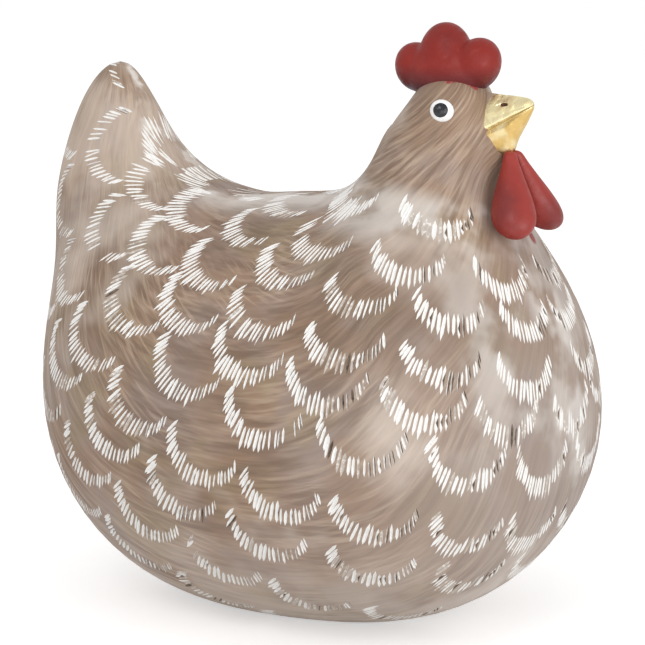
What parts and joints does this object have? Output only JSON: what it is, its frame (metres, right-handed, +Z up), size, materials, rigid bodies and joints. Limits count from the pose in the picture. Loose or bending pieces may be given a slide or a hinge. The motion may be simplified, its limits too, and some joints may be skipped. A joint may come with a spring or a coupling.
{
  "type": "hen figurine",
  "caption": "Plump sitting hen figurine cast in one piece, with raised tail, lobed comb, beak and wattles, its feathers cut into the surface as rows of short notches, on a flat foot",
  "frame": {"origin": "on the floor, under the middle of the hen's bounding box, in the plane of its flat foot", "axes": "+Z up, +X the way the beak points, +Y the hen's left side; the hen is mirrored across the XZ plane"},
  "size_m": [0.1568, 0.1186, 0.16],
  "materials": {
    "taupe_paint": "dry-brushed taupe acrylic paint on cast resin, matt, with pinkish and grey patches",
    "white_wash": "matt white paint left in the cut feather strokes",
    "red_paint": "matt brick red paint",
    "gold_leaf": "gold leaf over a primed beak, softly polished, worn at its edges",
    "eye_white": "white enamel",
    "eye_black": "gloss black enamel"
  },
  "bodies": {
    "root": {"hen_figurine": "taupe_paint"}
  },
  "joints": []
}
